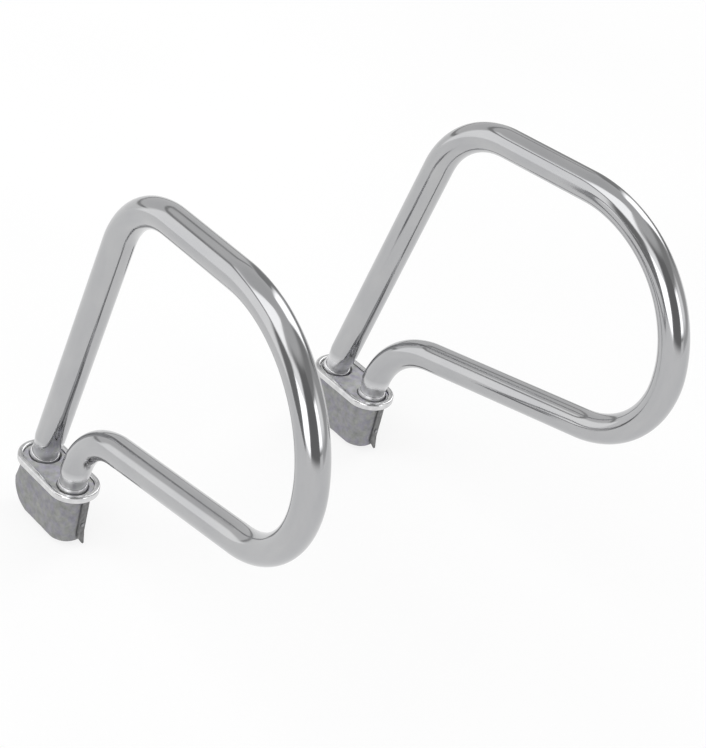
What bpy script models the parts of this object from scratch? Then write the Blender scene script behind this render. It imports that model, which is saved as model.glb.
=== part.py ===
"""Pair of ladder stand-off loops.

Each unit is one round tube bent into a closed D-shaped loop. Both tube ends are necked down and drop
side by side into a small oblong foot, whose plug seats in the open end of a ladder's stile.

Frame: metres. The origin lies midway between the two feet, in the plane of the rims' undersides,
where they rest on the stiles. +Z runs up along the stiles, +X points from the climber to the wall, and
+Y is to the climber's left. Each unit is built in its own frame, with the same axes, at its foot. The
feet are square to the frame, and each loop is turned outwards a little from its foot.
"""
import math

import bmesh
import bpy
from mathutils import Matrix, Vector

# Pair
FOOT_SPACING = 0.3132         # between the two feet, along Y
TOE_OUT = math.radians(3.85)  # each loop is turned outwards from its foot by this much about Z

# Tube
TUBE_R = 0.0127
TUBE_WALL = 0.0016
NECK_R = 0.0107               # necked ends
NECK_RISE = 0.0040            # straight neck above the floor of the foot
NECK_LONG = 0.0174            # height over which the long leg narrows to its neck
NECK_SHORT = 0.0118
TUBE_SIDES = 16

# Loop centreline, in the unit's XZ plane
LEG_SPACING = 0.0472          # between the leg axes at the floor of the foot
LEAN_LONG = math.radians(16.2)
LEAN_SHORT = math.radians(4.3)
LEG_LENGTH = 0.2518           # long leg's straight, from the floor of the foot
BEND_R = 0.0762               # shoulder bend and foot bend
SHOULDER_BEND = math.radians(70.2)
TOP_LENGTH = 0.0866
NOSE_R_TOP = 0.1105
NOSE_BEND_TOP = math.radians(94.4)
NOSE_R_BOTTOM = 0.0861
NOSE_BEND_BOTTOM = math.radians(77.7)
ARC_STEP = math.radians(9.0)

# Foot: flange, rim and plug
FLOOR_Z = 0.0046              # top of the flange, inside the rim
FLANGE_UNDER_Z = 0.0006
RIM_X = 0.0004                # middle of the rim
RIM_HALF_LENGTH = 0.0440      # outside of the rim
RIM_HALF_WIDTH = 0.0218
RIM_WIDTH = 0.0046
RIM_TOP_Z = 0.0064            # its underside, at z = 0, rests on the stile
PLUG_DEPTH = 0.0455
PLUG_HALF_WIDTH = 0.0162
PLUG_NOSE_END = 0.0370        # +X end of the plug at the flange
PLUG_BACK_END = -0.0384       # -X end of the plug at the flange
PLUG_BACK_SLOPE = 0.36        # how far the -X end leans out, per unit of depth
PLUG_NOSE_SLOPE = 0.065       # how far the +X end leans in
PLUG_SIDE_SLOPE = 0.02
PLUG_HEEL_R = 0.0200          # rounding from the -X end to the bottom
BOTTOM_EDGE_R = 0.0012
RING_ARC_STEPS = 7            # per quarter of an oblong outline
CORE_HALF_LENGTH = 0.0200     # shallow recess in the underside
CORE_HALF_WIDTH = 0.0090
CORE_DEPTH = 0.0028

# Hardware in the foot
GAP = 0.0003                  # between pieces that touch
TUBE_SEAT_Z = -0.0200         # where the tube ends stop in their bores
COLLAR_WALL = 0.0014
COLLAR_PROUD = 0.0036         # a skirt round the neck, thinner towards its top
COLLAR_LIP = 0.0007           # its wall at the top
COLLAR_SHOULDER = 0.0012      # height at which its full wall begins
COLLAR_SEAT = 0.0030
COUNTERBORE_GAP = 0.0010
INSERT_LENGTH = 0.0260
INSERT_CHAMFER = 0.0010
SET_SCREW_R = 0.0036
SET_SCREW_LENGTH = 0.0038
SET_SCREW_Z = -0.0110
HEX_SOCKET_R = 0.0023
HEX_SOCKET_DEPTH = 0.0022
STRIP_WIDTH = 0.0080
STRIP_TURN = math.radians(14.0)  # round the nose end, towards +Y, to where the strip is fixed
STRIP_THICKNESS = 0.0012
STRIP_BEND_Z = -0.0370
STRIP_CORNER_Z = -0.0400       # where the barb's point starts on its front edge
STRIP_TIP_Z = -0.0492
STRIP_KICK = 0.14             # how far the barb leans out, per unit of height
RIVET_Z = -0.0290
RIVET_HEAD_R = 0.0019
RIVET_HEAD_HEIGHT = 0.0007
RIVET_SHANK_R = 0.0010
RIVET_SHANK_LENGTH = 0.0050

MATERIALS = {
    "polished_tube": ((0.72, 0.72, 0.73, 1.0), 0.16),
    "polished_rim": ((0.80, 0.80, 0.80, 1.0), 0.20),
    "cast_foot": ((0.30, 0.31, 0.32, 1.0), 0.62),
    "collar": ((0.62, 0.63, 0.64, 1.0), 0.32),
    "hardware": ((0.40, 0.41, 0.43, 1.0), 0.40),
    "spring_strip": ((0.42, 0.43, 0.44, 1.0), 0.45),
}


# ---------------------------------------------------------------- scene and object helpers

def clear_scene():
    for thing in list(bpy.data.objects):
        bpy.data.objects.remove(thing, do_unlink=True)


def new_collection(name):
    collection = bpy.data.collections.new(name)
    bpy.context.scene.collection.children.link(collection)
    return collection


def make_materials():
    made = {}
    for name, (colour, roughness) in MATERIALS.items():
        material = bpy.data.materials.new(name)
        material.use_nodes = True
        shader = material.node_tree.nodes["Principled BSDF"]
        shader.inputs["Base Color"].default_value = colour
        shader.inputs["Metallic"].default_value = 1.0
        shader.inputs["Roughness"].default_value = roughness
        material.diffuse_color = colour
        made[name] = material
    return made


def add_object(name, mesh, collection, parent, material=None, smooth=True):
    thing = bpy.data.objects.new(name, mesh)
    collection.objects.link(thing)
    thing.parent = parent
    if material is not None:
        mesh.materials.append(material)
    if smooth:
        mesh.shade_smooth()
        mesh.set_sharp_from_angle(angle=math.radians(35.0))
    return thing


def finish_bmesh(shape, name):
    mesh = bpy.data.meshes.new(name)
    shape.to_mesh(mesh)
    shape.free()
    return mesh


def cylinder_mesh(name, radius, low, high, sides=32, matrix=None):
    """A cylinder along its local Z from low to high, then moved by matrix."""
    shape = bmesh.new()
    lift = Matrix.Translation((0.0, 0.0, 0.5 * (low + high)))
    bmesh.ops.create_cone(shape, cap_ends=True, segments=sides, radius1=radius, radius2=radius,
                          depth=high - low, matrix=(matrix or Matrix()) @ lift)
    return finish_bmesh(shape, name)


def cut(target, cutter):
    cutter.hide_render = True
    cutter.display_type = "WIRE"
    boolean = target.modifiers.new(cutter.name, "BOOLEAN")
    boolean.operation = "DIFFERENCE"
    boolean.solver = "EXACT"
    boolean.object = cutter


def screw_profile(name, points, sides, collection, parent, material, matrix):
    """A turned piece: the (radius, height) points run down the outer side, top to bottom."""
    mesh = bpy.data.meshes.new(name)
    count = len(points)
    edges = [(i, (i + 1) % count) for i in range(count)]
    mesh.from_pydata([(r, 0.0, z) for r, z in points], edges, [])
    thing = add_object(name, mesh, collection, parent, material)
    thing.matrix_local = matrix
    turn = thing.modifiers.new("turn", "SCREW")
    turn.axis = "Z"
    turn.steps = sides
    turn.render_steps = sides
    turn.use_merge_vertices = True
    turn.merge_threshold = 0.00001
    return thing


# ---------------------------------------------------------------- loop centreline

def leg_axis(side):
    """Foot point at the floor, and unit direction upwards, of the long (-1) or short (+1) leg."""
    lean = LEAN_LONG if side < 0 else LEAN_SHORT
    return Vector((side * 0.5 * LEG_SPACING, 0.0, FLOOR_Z)), Vector((math.sin(lean), 0.0, math.cos(lean)))


def leg_frame(side):
    """Local Z along the leg's axis, with its origin at the floor."""
    foot, up = leg_axis(side)
    lean = math.atan2(up.x, up.z)
    return Matrix.Translation(foot) @ Matrix.Rotation(lean, 4, "Y")


def arc_end(point, heading, radius, turn):
    """End of an arc in the XZ plane; turn is positive anticlockwise."""
    sign = math.copysign(1.0, turn)
    centre = point + radius * sign * Vector((-math.sin(heading), 0.0, math.cos(heading)))
    new = heading + turn
    return centre - radius * sign * Vector((-math.sin(new), 0.0, math.cos(new))), new


def along(heading):
    return Vector((math.cos(heading), 0.0, math.sin(heading)))


def closing_lengths(point, heading, last_turn, target, last_heading):
    """Lengths of the bottom straight and of the short leg that bring the loop to the target."""
    bend, _ = arc_end(Vector(), heading, BEND_R, last_turn)
    first, second = along(heading), along(last_heading)
    rest = target - point - bend
    det = first.x * second.z - first.z * second.x
    return (rest.x * second.z - rest.z * second.x) / det, (first.x * rest.z - first.z * rest.x) / det


def loop_segments():
    """Straights and arcs from the long leg's foot round to the short leg's foot."""
    foot, up_long = leg_axis(-1)
    target, up_short = leg_axis(1)
    heading = math.atan2(up_long.z, up_long.x)
    segments = [("line", LEG_LENGTH), ("arc", BEND_R, -SHOULDER_BEND), ("line", TOP_LENGTH),
                ("arc", NOSE_R_TOP, -NOSE_BEND_TOP), ("arc", NOSE_R_BOTTOM, -NOSE_BEND_BOTTOM)]
    point = foot
    for segment in segments:
        if segment[0] == "line":
            point = point + segment[1] * along(heading)
        else:
            point, heading = arc_end(point, heading, segment[1], segment[2])
    last_heading = math.atan2(-up_short.z, -up_short.x)
    last_turn = (last_heading - heading) % math.tau
    bottom, short = closing_lengths(point, heading, last_turn, target, last_heading)
    return segments + [("line", bottom), ("arc", BEND_R, last_turn), ("line", short)]


def loop_points():
    """Centreline points, with the ends carried down to the seats of their bores."""
    foot, up_long = leg_axis(-1)
    target, up_short = leg_axis(1)
    heading = math.atan2(up_long.z, up_long.x)
    points = [foot]
    for segment in loop_segments():
        start = points[-1]
        if segment[0] == "line":
            points.append(start + segment[1] * along(heading))
            continue
        steps = math.ceil(abs(segment[2]) / ARC_STEP)
        for step in range(1, steps + 1):
            points.append(arc_end(start, heading, segment[1], segment[2] * step / steps)[0])
        heading += segment[2]
    below = FLOOR_Z - TUBE_SEAT_Z
    necks = [foot + up_long * (NECK_RISE + NECK_LONG * k / 3.0) for k in range(4)]
    ends = [foot - up_long * (below / up_long.z)]
    tail = [target - up_short * (below / up_short.z)]
    return ends + points[:1] + necks + points[1:-1] + tail


def neck_radius(point, index, count):
    """Tube radius at a centreline point: full size, or narrowing towards either end."""
    height = point.z - FLOOR_Z - NECK_RISE
    span = NECK_LONG if index < count / 2 else NECK_SHORT
    share = min(max(height / span, 0.0), 1.0)
    return NECK_R + (TUBE_R - NECK_R) * share


# ---------------------------------------------------------------- foot outline

def oblong_ring(left, right, half_width, z):
    """An oblong outline with round ends, anticlockwise from its front right."""
    ring = []
    steps = 2 * RING_ARC_STEPS
    for centre, start in ((right - half_width, -0.5 * math.pi), (left + half_width, 0.5 * math.pi)):
        for step in range(steps + 1):
            angle = start + math.pi * step / steps
            ring.append(Vector((centre + half_width * math.cos(angle), half_width * math.sin(angle), z)))
    return ring


def plug_back_end(depth):
    """X of the plug's -X end at a depth: a leaning wall that rounds under into the heel."""
    heel_top = PLUG_DEPTH - PLUG_HEEL_R
    wall = PLUG_BACK_END - PLUG_BACK_SLOPE * min(depth, heel_top)
    if depth <= heel_top:
        return wall
    below = min(depth - heel_top, PLUG_HEEL_R)
    return wall + PLUG_HEEL_R - math.sqrt(PLUG_HEEL_R ** 2 - below ** 2)


def plug_ring(depth, inset=0.0):
    left = plug_back_end(depth) + inset
    right = PLUG_NOSE_END - PLUG_NOSE_SLOPE * depth - inset
    return oblong_ring(left, right, PLUG_HALF_WIDTH - PLUG_SIDE_SLOPE * depth - inset, -depth)


def flange_ring(z):
    inner = RIM_WIDTH + GAP
    return oblong_ring(RIM_X - RIM_HALF_LENGTH + inner, RIM_X + RIM_HALF_LENGTH - inner,
                       RIM_HALF_WIDTH - inner, z)


def loft(rings, name):
    """A closed body through rings that have the same number of points, bottom ring first."""
    shape = bmesh.new()
    rows = [[shape.verts.new(point) for point in ring] for ring in rings]
    for lower, upper in zip(rows, rows[1:]):
        for i in range(len(lower)):
            j = (i + 1) % len(lower)
            shape.faces.new((lower[i], lower[j], upper[j], upper[i]))
    shape.faces.new(list(reversed(rows[0])))
    shape.faces.new(rows[-1])
    return finish_bmesh(shape, name)


# ---------------------------------------------------------------- pieces of one unit

def build_tube(side, parts, parent, material):
    points = loop_points()
    curve = bpy.data.curves.new(side + "_loop_path", "CURVE")
    curve.dimensions = "3D"
    curve.twist_mode = "MINIMUM"
    curve.bevel_depth = 1.0
    curve.bevel_resolution = TUBE_SIDES // 2 - 2
    curve.use_fill_caps = False
    spline = curve.splines.new("POLY")
    spline.points.add(len(points) - 1)
    for index, point in enumerate(points):
        spline.points[index].co = (point.x, point.y, point.z, 1.0)
        spline.points[index].radius = neck_radius(point, index, len(points))
    path = bpy.data.objects.new(side + "_loop_path", curve)
    parts.objects.link(path)
    bpy.context.view_layer.update()
    evaluated = path.evaluated_get(bpy.context.evaluated_depsgraph_get())
    mesh = bpy.data.meshes.new_from_object(evaluated)
    bpy.data.objects.remove(path, do_unlink=True)
    mesh.materials.clear()
    tube = add_object(side + "_loop_tube", mesh, parts, parent, material)
    wall = tube.modifiers.new("wall", "SOLIDIFY")
    wall.thickness = TUBE_WALL
    wall.offset = -1.0
    return tube


def build_casting(side, parts, cutters, parent, loop, material):
    heel_top = PLUG_DEPTH - PLUG_HEEL_R
    edge_depth = PLUG_DEPTH - BOTTOM_EDGE_R
    depths = [heel_top + (edge_depth - heel_top) * math.sin(0.5 * math.pi * k / 4) for k in range(5)]
    rings = [plug_ring(PLUG_DEPTH, BOTTOM_EDGE_R)]
    rings += [plug_ring(depth) for depth in reversed(depths)]
    rings += [plug_ring(0.5 * heel_top), plug_ring(-FLANGE_UNDER_Z), flange_ring(FLANGE_UNDER_Z),
              flange_ring(FLOOR_Z)]
    casting = add_object(side + "_foot_casting", loft(rings, side + "_foot_casting"), parts, parent,
                         material)
    for leg, name in ((-1, "long"), (1, "short")):
        add_leg_cutters(side, name, leg, casting, cutters, loop)
    core = loft([oblong_ring(-CORE_HALF_LENGTH, CORE_HALF_LENGTH, CORE_HALF_WIDTH, -PLUG_DEPTH - 0.01),
                 oblong_ring(-CORE_HALF_LENGTH, CORE_HALF_LENGTH, CORE_HALF_WIDTH,
                             CORE_DEPTH - PLUG_DEPTH)], side + "_core_cutter")
    cut(casting, add_object(side + "_core_cutter", core, cutters, parent, smooth=False))
    add_rivet_hole(side, casting, cutters, parent)
    return casting


def add_leg_cutters(side, name, leg, casting, cutters, loop):
    """Bore, collar counterbore and set-screw hole of one leg, in the loop's frame."""
    frame = leg_frame(leg)
    _, up = leg_axis(leg)
    seat = (TUBE_SEAT_Z - FLOOR_Z) / up.z - GAP
    bore = cylinder_mesh(side + "_" + name + "_bore", NECK_R + GAP, seat - 0.001, 0.03, 32, frame)
    cut(casting, add_object(bore.name, bore, cutters, loop, smooth=False))
    radius = NECK_R + GAP + COLLAR_WALL + COUNTERBORE_GAP
    sink = cylinder_mesh(side + "_" + name + "_counterbore", radius, -COLLAR_SEAT - GAP, 0.03, 32, frame)
    cut(casting, add_object(sink.name, sink, cutters, loop, smooth=False))
    hole = cylinder_mesh(side + "_" + name + "_screw_hole", SET_SCREW_R + GAP, 0.004, 0.04, 24,
                         set_screw_frame(leg))
    cut(casting, add_object(hole.name, hole, cutters, loop, smooth=False))


def set_screw_frame(leg):
    """Local Z runs out through the rear wall, at right angles to the leg's axis."""
    foot, up = leg_axis(leg)
    centre = foot + up * ((SET_SCREW_Z - FLOOR_Z) / up.z)
    return Matrix.Translation(centre) @ Matrix.Rotation(-0.5 * math.pi, 4, "X")


def build_rim(side, parts, parent, material):
    """A bead pressed round the flange: a ring with rounded edges."""
    outer = (RIM_X - RIM_HALF_LENGTH, RIM_X + RIM_HALF_LENGTH, RIM_HALF_WIDTH)
    edge = 0.0014
    levels = [(edge, 0.0), (0.0, edge), (0.0, RIM_TOP_Z - edge),
              (edge, RIM_TOP_Z), (RIM_WIDTH - edge, RIM_TOP_Z), (RIM_WIDTH, RIM_TOP_Z - edge),
              (RIM_WIDTH, 0.5 * edge), (RIM_WIDTH - 0.5 * edge, 0.0)]
    shape = bmesh.new()
    rows = []
    for inset, z in levels:
        ring = oblong_ring(outer[0] + inset, outer[1] - inset, outer[2] - inset, z)
        rows.append([shape.verts.new(point) for point in ring])
    for lower, upper in zip(rows, rows[1:] + rows[:1]):
        for i in range(len(lower)):
            j = (i + 1) % len(lower)
            shape.faces.new((lower[i], lower[j], upper[j], upper[i]))
    return add_object(side + "_rim_band", finish_bmesh(shape, side + "_rim_band"), parts, parent, material)


def build_collar(side, name, leg, parts, parent, material):
    inner = NECK_R + GAP
    outer = inner + COLLAR_WALL
    top, low = COLLAR_PROUD, -COLLAR_SEAT
    points = [(inner + COLLAR_LIP, top), (outer, COLLAR_SHOULDER), (outer, low), (inner, low), (inner, top)]
    return screw_profile(side + "_collar_" + name, points, 32, parts, parent, material, leg_frame(leg))


def build_insert(side, name, leg, parts, parent, material):
    """Solid plug that backs the necked tube end against its set screw."""
    _, up = leg_axis(leg)
    radius = NECK_R - TUBE_WALL - GAP
    low = (TUBE_SEAT_Z - FLOOR_Z) / up.z
    shape = bmesh.new()
    middle = Matrix.Translation((0.0, 0.0, low + 0.5 * INSERT_LENGTH))
    bmesh.ops.create_cone(shape, cap_ends=True, segments=24, radius1=radius, radius2=radius,
                          depth=INSERT_LENGTH, matrix=leg_frame(leg) @ middle)
    insert = add_object(side + "_insert_" + name, finish_bmesh(shape, side + "_insert_" + name), parts,
                        parent, material)
    bevel = insert.modifiers.new("chamfer", "BEVEL")
    bevel.width = INSERT_CHAMFER
    bevel.segments = 1
    bevel.limit_method = "ANGLE"
    bevel.angle_limit = math.radians(60.0)
    return insert


def build_set_screw(side, name, leg, parts, cutters, parent, material):
    frame = set_screw_frame(leg)
    tip = NECK_R + GAP
    head = tip + SET_SCREW_LENGTH
    mesh = cylinder_mesh(side + "_set_screw_" + name, SET_SCREW_R, tip, head, 24, frame)
    screw = add_object(mesh.name, mesh, parts, parent, material)
    socket = cylinder_mesh(side + "_hex_" + name, HEX_SOCKET_R, head - HEX_SOCKET_DEPTH, head + 0.002, 6,
                           frame)
    cut(screw, add_object(socket.name, socket, cutters, parent, smooth=False))
    return screw


def strip_x(z):
    """X of the strip's inner face: it follows the plug's nose end, then kicks out in a barb."""
    wall = PLUG_NOSE_END + GAP + PLUG_NOSE_SLOPE * z
    return wall + STRIP_KICK * max(0.0, STRIP_BEND_Z - z)


def strip_frame():
    """Turns about the middle of the plug's round nose end, to the strip's place on it."""
    centre = Vector((PLUG_NOSE_END - PLUG_HALF_WIDTH, 0.0, 0.0))
    return Matrix.Translation(centre) @ Matrix.Rotation(STRIP_TURN, 4, "Z") @ Matrix.Translation(-centre)


def build_strip(side, parts, cutters, parent, material):
    """Spring strip down the nose end of the plug, cut to a point below."""
    half = 0.5 * STRIP_WIDTH
    outline = [(-half, 0.0), (-half, STRIP_BEND_Z), (-half, STRIP_CORNER_Z), (0.6 * half, STRIP_TIP_Z),
               (half, STRIP_TIP_Z), (half, STRIP_BEND_Z), (half, 0.0)]
    shape = bmesh.new()
    verts = [shape.verts.new(strip_frame() @ Vector((strip_x(z), y, z))) for y, z in outline]
    shape.faces.new((verts[0], verts[1], verts[5], verts[6]))
    shape.faces.new(verts[1:6])
    strip = add_object(side + "_retaining_strip", finish_bmesh(shape, side + "_retaining_strip"), parts,
                       parent, material, smooth=False)
    sheet = strip.modifiers.new("sheet", "SOLIDIFY")
    sheet.thickness = STRIP_THICKNESS
    sheet.offset = 1.0
    hole = cylinder_mesh(side + "_strip_hole", RIVET_SHANK_R + GAP, -0.006, 0.006, 16, rivet_frame())
    cut(strip, add_object(hole.name, hole, cutters, parent, smooth=False))
    return strip


def rivet_frame():
    """Local Z runs out of the plug's nose end, from the strip's outer face."""
    face = Vector((strip_x(RIVET_Z) + STRIP_THICKNESS, 0.0, RIVET_Z))
    return strip_frame() @ Matrix.Translation(face) @ Matrix.Rotation(0.5 * math.pi, 4, "Y")


def add_rivet_hole(side, casting, cutters, parent):
    hole = cylinder_mesh(side + "_rivet_hole", RIVET_SHANK_R + GAP, -RIVET_SHANK_LENGTH - GAP, 0.004, 16,
                         rivet_frame())
    cut(casting, add_object(hole.name, hole, cutters, parent, smooth=False))


def build_rivet(side, parts, parent, material):
    head, lift = RIVET_HEAD_R, RIVET_HEAD_HEIGHT
    points = [(0.0, GAP + lift), (0.6 * head, GAP + 0.85 * lift), (head, GAP + 0.2 * lift), (head, GAP),
              (RIVET_SHANK_R, GAP), (RIVET_SHANK_R, -RIVET_SHANK_LENGTH), (0.0, -RIVET_SHANK_LENGTH)]
    mesh = bpy.data.meshes.new(side + "_strip_rivet")
    mesh.from_pydata([(r, 0.0, z) for r, z in points], [(i, i + 1) for i in range(len(points) - 1)], [])
    rivet = add_object(mesh.name, mesh, parts, parent, material)
    rivet.matrix_local = rivet_frame()
    turn = rivet.modifiers.new("turn", "SCREW")
    turn.axis = "Z"
    turn.steps = 16
    turn.render_steps = 16
    turn.use_merge_vertices = True
    turn.merge_threshold = 0.00001
    return rivet


# ---------------------------------------------------------------- assembly

def build_unit(side, sign, parts, cutters, materials):
    """One loop with its foot: sign is +1 on the climber's left and -1 on the right."""
    unit = bpy.data.objects.new(side + "_unit", None)
    parts.objects.link(unit)
    unit.location = (0.0, sign * 0.5 * FOOT_SPACING, 0.0)
    loop = bpy.data.objects.new(side + "_loop", None)
    parts.objects.link(loop)
    loop.parent = unit
    loop.rotation_euler = (0.0, 0.0, sign * TOE_OUT)
    build_tube(side, parts, loop, materials["polished_tube"])
    build_casting(side, parts, cutters, unit, loop, materials["cast_foot"])
    build_rim(side, parts, unit, materials["polished_rim"])
    for leg, name in ((-1, "long"), (1, "short")):
        build_collar(side, name, leg, parts, loop, materials["collar"])
        build_insert(side, name, leg, parts, loop, materials["hardware"])
        build_set_screw(side, name, leg, parts, cutters, loop, materials["hardware"])
    build_strip(side, parts, cutters, unit, materials["spring_strip"])
    build_rivet(side, parts, unit, materials["hardware"])


def main():
    clear_scene()
    parts = new_collection("ladder_standoff_pair")
    cutters = new_collection("cutters")
    materials = make_materials()
    build_unit("right", -1, parts, cutters, materials)
    build_unit("left", 1, parts, cutters, materials)


main()
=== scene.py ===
import math

import bmesh
import bpy
from mathutils import Matrix, Vector, noise


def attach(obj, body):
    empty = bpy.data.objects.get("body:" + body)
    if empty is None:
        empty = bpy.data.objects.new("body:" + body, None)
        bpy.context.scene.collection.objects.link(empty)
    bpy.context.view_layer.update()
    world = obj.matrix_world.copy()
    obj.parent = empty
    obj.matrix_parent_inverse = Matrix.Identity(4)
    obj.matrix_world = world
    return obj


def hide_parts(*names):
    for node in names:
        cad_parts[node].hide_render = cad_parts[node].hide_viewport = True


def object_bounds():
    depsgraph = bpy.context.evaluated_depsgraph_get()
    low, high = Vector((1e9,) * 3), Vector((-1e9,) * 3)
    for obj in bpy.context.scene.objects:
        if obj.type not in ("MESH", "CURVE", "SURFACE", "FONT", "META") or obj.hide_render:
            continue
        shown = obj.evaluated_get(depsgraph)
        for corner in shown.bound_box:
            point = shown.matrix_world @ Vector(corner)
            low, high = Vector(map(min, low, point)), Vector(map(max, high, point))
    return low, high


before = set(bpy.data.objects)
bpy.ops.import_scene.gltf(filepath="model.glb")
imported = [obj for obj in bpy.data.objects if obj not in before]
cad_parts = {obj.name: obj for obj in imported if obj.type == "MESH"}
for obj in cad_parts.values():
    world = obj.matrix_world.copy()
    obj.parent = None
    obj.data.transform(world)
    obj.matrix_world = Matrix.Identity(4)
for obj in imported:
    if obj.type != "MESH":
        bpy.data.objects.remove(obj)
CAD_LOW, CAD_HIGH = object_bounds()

# All lengths are in metres. Each unit is built in its own frame, at its foot, and then placed.
UNITS = (("right", -1), ("left", 1))
LEGS = (("long", -1), ("short", 1))

# Pair and tube, as in the CAD
FOOT_SPACING = 0.3132
TOE_OUT = math.radians(3.85)
TUBE_R = 0.0127
TUBE_WALL = 0.0016
NECK_R = 0.0107
NECK_RISE = 0.0040
NECK_LONG = 0.0174
NECK_SHORT = 0.0118
LEG_SPACING = 0.0472
LEAN_LONG = math.radians(16.2)
LEAN_SHORT = math.radians(4.3)
LEG_LENGTH = 0.2518
BEND_R = 0.0762
SHOULDER_BEND = math.radians(70.2)
TOP_LENGTH = 0.0866
NOSE_R_TOP = 0.1105
NOSE_BEND_TOP = math.radians(94.4)
NOSE_R_BOTTOM = 0.0861
NOSE_BEND_BOTTOM = math.radians(77.7)

# Foot, as in the CAD
FLOOR_Z = 0.0046
FLANGE_UNDER_Z = 0.0006
RIM_X = 0.0004
RIM_HALF_LENGTH = 0.0440
RIM_HALF_WIDTH = 0.0218
RIM_WIDTH = 0.0046
RIM_TOP_Z = 0.0064
PLUG_DEPTH = 0.0455
PLUG_HALF_WIDTH = 0.0162
PLUG_NOSE_END = 0.0370
PLUG_BACK_END = -0.0384
PLUG_BACK_SLOPE = 0.36
PLUG_NOSE_SLOPE = 0.065
PLUG_SIDE_SLOPE = 0.02
PLUG_HEEL_R = 0.0200
BOTTOM_EDGE_R = 0.0012
CORE_HALF_LENGTH = 0.0200
CORE_HALF_WIDTH = 0.0090
CORE_DEPTH = 0.0028
GAP = 0.0003
TUBE_SEAT_Z = -0.0200
COLLAR_WALL = 0.0014
COLLAR_PROUD = 0.0036
COLLAR_LIP = 0.0007
COLLAR_SHOULDER = 0.0012
COLLAR_SEAT = 0.0030
SET_SCREW_R = 0.0036
SET_SCREW_LENGTH = 0.0038
SET_SCREW_Z = -0.0110
HEX_SOCKET_R = 0.0023
HEX_SOCKET_DEPTH = 0.0022
STRIP_WIDTH = 0.0080
STRIP_TURN = math.radians(14.0)
STRIP_THICKNESS = 0.0012
STRIP_BEND_Z = -0.0370
STRIP_CORNER_Z = -0.0400
STRIP_TIP_Z = -0.0492
STRIP_KICK = 0.14
RIVET_Z = -0.0290
RIVET_HEAD_R = 0.0019
RIVET_HEAD_HEIGHT = 0.0007
RIVET_SHANK_R = 0.0010
RIVET_SHANK_LENGTH = 0.0050

# Detail that only the visual model has, or that it has finer than the CAD
FLATTENING = 0.022            # how much the tube flattens in its bends
FLATTEN_RUN = 0.020           # length over which a bend's flattening comes in
FINE_ARC = math.radians(2.2)
FINE_LINE = 0.010             # spacing of the tube's rings along a straight
FINE_NECK = 0.0012            # and beside either foot
FINE_REACH = 0.055            # length of a straight that is spaced so; the rest is divided evenly
COARSE_STEPS = 12
TUBE_SIDES = 64
RING_ARC_STEPS = 20
RING_LINE_STEPS = 16
EDGE_STEPS = 4
HEEL_STEPS = 12
WALL_STEPS = 10
UNDERSIDE_INSETS = (0.0063, 0.0028)
FLANGE_EDGE = ((-0.0004, 0.0), (-0.0001, 0.0002), (0.0, 0.0006), (0.0, 0.004))   # height, inset
SKIN_SEED = 1                 # Blender's noise vectors follow the clock unless they are seeded
CAST_WANDER = 0.00016         # how far a casting's skin wanders
CAST_WANDER_SCALE = 130.0
RIM_EDGE_R = 0.0019
RIM_ARC_STEPS = 24
RIM_LINE_STEPS = 20
RIM_WANDER = 0.00007
RIM_WANDER_SCALE = 170.0
COUNTERBORE_GAP = 0.0007      # 0.0003 tighter than the CAD's, so that the dark gap looks right
BROKEN_EDGE = 0.0003
BORE_RUNOUT = 0.001
SCREW_MOUTH = 0.0012          # chamfer where a set screw's hole meets the plug's wall
CORE_CORNER = 0.0006
CORE_FLARE = 0.0030
COLLAR_EDGE_R = 0.0006
THREAD_PITCH = 0.0007
THREAD_DEPTH = 0.00028
THREAD_START = 0.0006
THREAD_END = 0.0008
SCREW_SIDES = 48
CUP_POINT = ((0.0011, 0.0004), (0.0020, 0.0), (0.0028, 0.0003))           # radius, height
SCREW_CHAMFER = ((0.0, 0.0005), (0.0004, 0.0001), (0.0006, 0.0))          # inset, depth
STRIP_EDGE = 0.00028
STRIP_POINT_SHARE = 0.6       # where the slanting edge ends, as a share of the half width
DOME_STEPS = 8
DOME_RIM_SHARE = 0.15         # height of the rivet head's rim, as a share of its dome
SHANK_CHAMFER = 0.0003

# Finish: heights are above or below the foot's floor
SATIN_AND_SHEEN_LOW = 0.004             # below this the neck is satin all round, and its colour is painted near-white as a painted reflection
SATIN_AND_SHEEN_HIGH = 0.022            # above this it is fully polished, with no painted reflection
PAINTED_LIGHT_LOW = 0.0008            # the casting's top floor is painted brighter from this far down, as painted light
PAINTED_LIGHT_HIGH = 0.0003
PAINTED_LIGHT_GAIN = 1.9

# Stage
STUDIO_LIGHT = 0.8            # brightness wherever no window lies
FLOOR_HALF_SIZE = 1.6
FLOOR_MIDDLE_X = 0.1
FLOOR_DROP = 0.0005

# Camera
CAMERA_AT = (1.2322, -1.0628, 1.1033)
CAMERA_TARGET = (0.1268, 0.0288, 0.1244)
CAMERA_ROLL = math.radians(11.138)
CAMERA_LENS = 109.98


# ---------------------------------------------------------------- node helpers

def new_material(name):
    material = bpy.data.materials.new(name)
    material.use_nodes = True
    return material, material.node_tree, material.node_tree.nodes["Principled BSDF"]


def add_node(tree, kind, inputs=(), **settings):
    """A new node: settings are its properties, inputs are (socket, value or output socket) pairs."""
    node = tree.nodes.new(kind)
    for key, value in settings.items():
        setattr(node, key, value)
    for socket, value in inputs:
        if isinstance(value, bpy.types.NodeSocket):
            tree.links.new(value, node.inputs[socket])
        else:
            node.inputs[socket].default_value = value
    return node


def math_node(tree, operation, first, second=0.0):
    return add_node(tree, "ShaderNodeMath", [(0, first), (1, second)], operation=operation).outputs[0]


def stretched(tree, vector, scale):
    return add_node(tree, "ShaderNodeVectorMath", [(0, vector), (1, scale)],
                    operation="MULTIPLY").outputs[0]


def noise_node(tree, vector, scale, detail=3.0, roughness=0.55):
    return add_node(tree, "ShaderNodeTexNoise", [("Vector", vector), ("Scale", scale),
                                                  ("Detail", detail), ("Roughness", roughness)]).outputs[0]


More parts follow.
